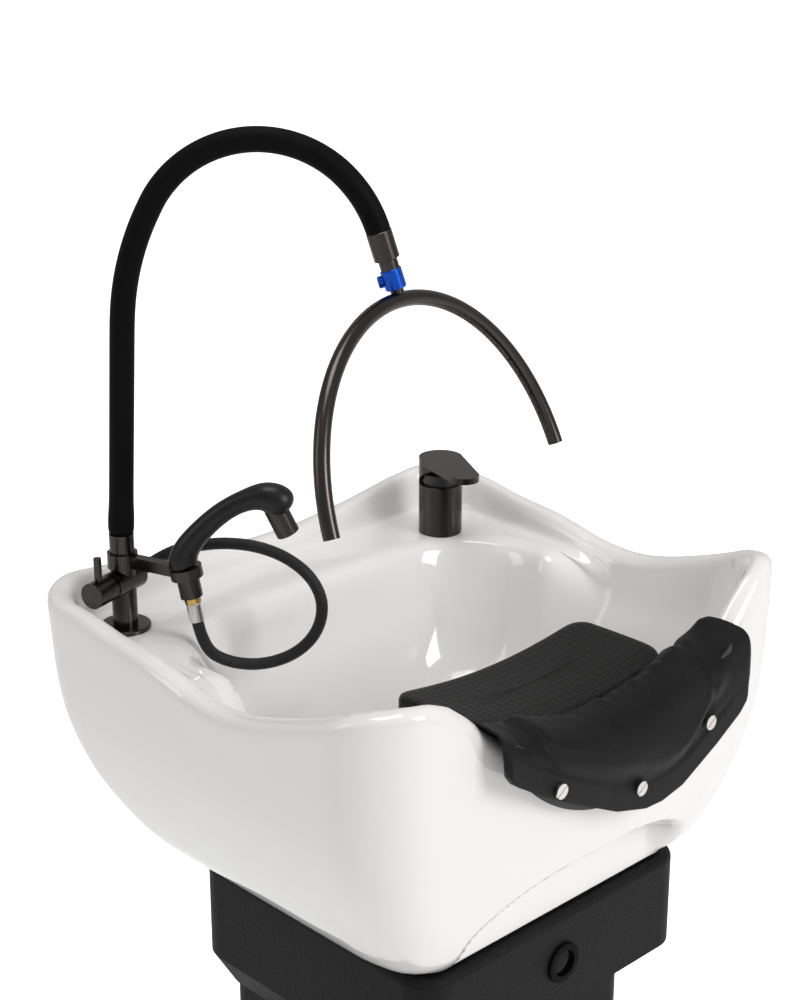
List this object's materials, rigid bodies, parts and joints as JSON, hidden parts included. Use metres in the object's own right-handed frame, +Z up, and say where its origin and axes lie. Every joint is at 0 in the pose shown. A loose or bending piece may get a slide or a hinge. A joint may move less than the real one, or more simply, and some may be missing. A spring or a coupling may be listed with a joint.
{
  "type": "shampoo backwash unit",
  "caption": "Tilting salon wash basin on a pedestal, with lever mixer, diverter post, hand shower, neck cushion, head rest and a spray arch on a flexible arm.",
  "frame": {"origin": "centre of the base plate's floor bolt pattern, on the floor", "axes": "+Z up; the client's neck comes in from -Y and the hairdresser stands at +Y; +X is on the hairdresser's left, on the mixer's side"},
  "size_m": [0.6072, 0.5642, 1.4297],
  "materials": {
    "glaze": "gloss",
    "black_shell": "fine leather-like texture",
    "black_rubber": "matt",
    "frame_steel": "satin powder coat",
    "zinc_steel": "plated",
    "bronze": "turned",
    "pipe_plastic": "moulded",
    "bright_steel": "polished",
    "brass": "polished",
    "flexible_steel": "braided",
    "gunmetal": "brushed dark plating",
    "cap_plastic": "satin",
    "blue_metal": "anodised",
    "black_grip": "satin",
    "hose_braid": "braided",
    "black_vinyl": "soft satin",
    "backing_board": "sheet",
    "black_foam": "embossed, satin"
  },
  "bodies": {
    "pedestal": {"base_plate": "frame_steel", "column_frame": "frame_steel", "frame_bolts": "zinc_steel", "column_shell": "black_shell", "access_panel": "black_shell", "panel_screws": "zinc_steel", "tilt_bushes": "bronze", "waste_pipe": "pipe_plastic", "supply_inlets": "brass", "supply_hoses_lower": "flexible_steel"},
    "basin": {"tilt_pins": "zinc_steel", "tilt_carrier": "frame_steel", "head_cover": "black_shell", "grommet": "black_rubber", "foot_gasket": "black_rubber", "basin": "glaze", "basin_bolts": "zinc_steel", "basin_bolt_nuts": "zinc_steel", "waste_body": "bright_steel", "waste_strainer": "bright_steel", "waste_nut": "pipe_plastic", "waste_tail": "pipe_plastic", "supply_hose_hot": "flexible_steel", "supply_hose_cold": "flexible_steel", "link_hose": "flexible_steel", "mixer_body": "gunmetal", "deck_washers": "black_rubber", "deck_nuts": "zinc_steel", "post_flange": "gunmetal", "diverter_post": "gunmetal", "hose_outlet": "gunmetal", "holder_arm": "gunmetal", "shower_hose": "hose_braid", "rest_cradle": "zinc_steel"},
    "mixer_cap": {"mixer_dome": "cap_plastic"},
    "mixer_lever": {"mixer_lever": "gunmetal"},
    "diverter": {"diverter_handle": "gunmetal", "diverter_pin": "gunmetal"},
    "arm": {"arm_socket": "gunmetal", "arm_sleeve": "black_rubber", "arm_ferrule": "gunmetal", "coupler_body": "blue_metal"},
    "button": {"coupler_button": "blue_metal"},
    "arch": {"arch_pipe": "gunmetal", "arch_plugs": "gunmetal", "arch_nipple": "gunmetal"},
    "hand_shower": {"shower_grip": "black_grip", "shower_nozzle": "gunmetal", "shower_stem": "gunmetal", "shower_tail_nut": "brass", "shower_ferrule": "bright_steel"},
    "neck_cushion": {"neck_cushion": "black_vinyl", "neck_backing": "backing_board", "neck_studs": "bright_steel"},
    "rest_cushion": {"rest_cushion": "black_foam"}
  },
  "joints": [
    {"name": "basin_tilt", "type": "hinge", "parent": "pedestal", "child": "basin", "pos_m": [0, 0, 0.6], "axis": [1, 0, 0], "range_deg": [0, 10]},
    {"name": "mixer_turn", "type": "hinge", "parent": "basin", "child": "mixer_cap", "pos_m": [0.2, 0.203, 0.98], "axis": [0, 0, 1], "range_deg": [-40, 40]},
    {"name": "mixer_lift", "type": "hinge", "parent": "mixer_cap", "child": "mixer_lever", "pos_m": [0.20977, 0.22601, 0.981], "axis": [-0.9205, 0.3907, 0], "range_deg": [0, 20]},
    {"name": "diverter_turn", "type": "hinge", "parent": "basin", "child": "diverter", "pos_m": [-0.232, 0.227, 0.972], "axis": [0.9613, 0.2756, 0], "range_deg": [-90, 90]},
    {"name": "arm_swing", "type": "hinge", "parent": "basin", "child": "arm", "pos_m": [-0.232, 0.227, 1.003], "axis": [0, 0, 1], "range_deg": [-60, 60]},
    {"name": "arch_swivel", "type": "hinge", "parent": "arm", "child": "arch", "pos_m": [-0.03365, 0.03276, 1.27291], "axis": [0.2089, -0.2046, -0.9563], "range_deg": [-90, 90]},
    {"name": "button_press", "type": "slide", "parent": "arm", "child": "button", "axis": [0.6833, -0.6691, 0.2924], "range_m": [0, 0.003], "stiffness_N_per_m": 800, "springref_m": -0.001},
    {"name": "hand_shower_lift", "type": "slide", "parent": "basin", "child": "hand_shower", "axis": [-0.1241, 0.1215, 0.9848], "range_m": [0, 0.065]},
    {"name": "neck_cushion_lift", "type": "slide", "parent": "basin", "child": "neck_cushion", "axis": [0, 0, 1], "range_m": [0, 0.08]},
    {"name": "rest_cushion_lift", "type": "slide", "parent": "basin", "child": "rest_cushion", "axis": [0, 0, 1], "range_m": [0, 0.06]}
  ]
}
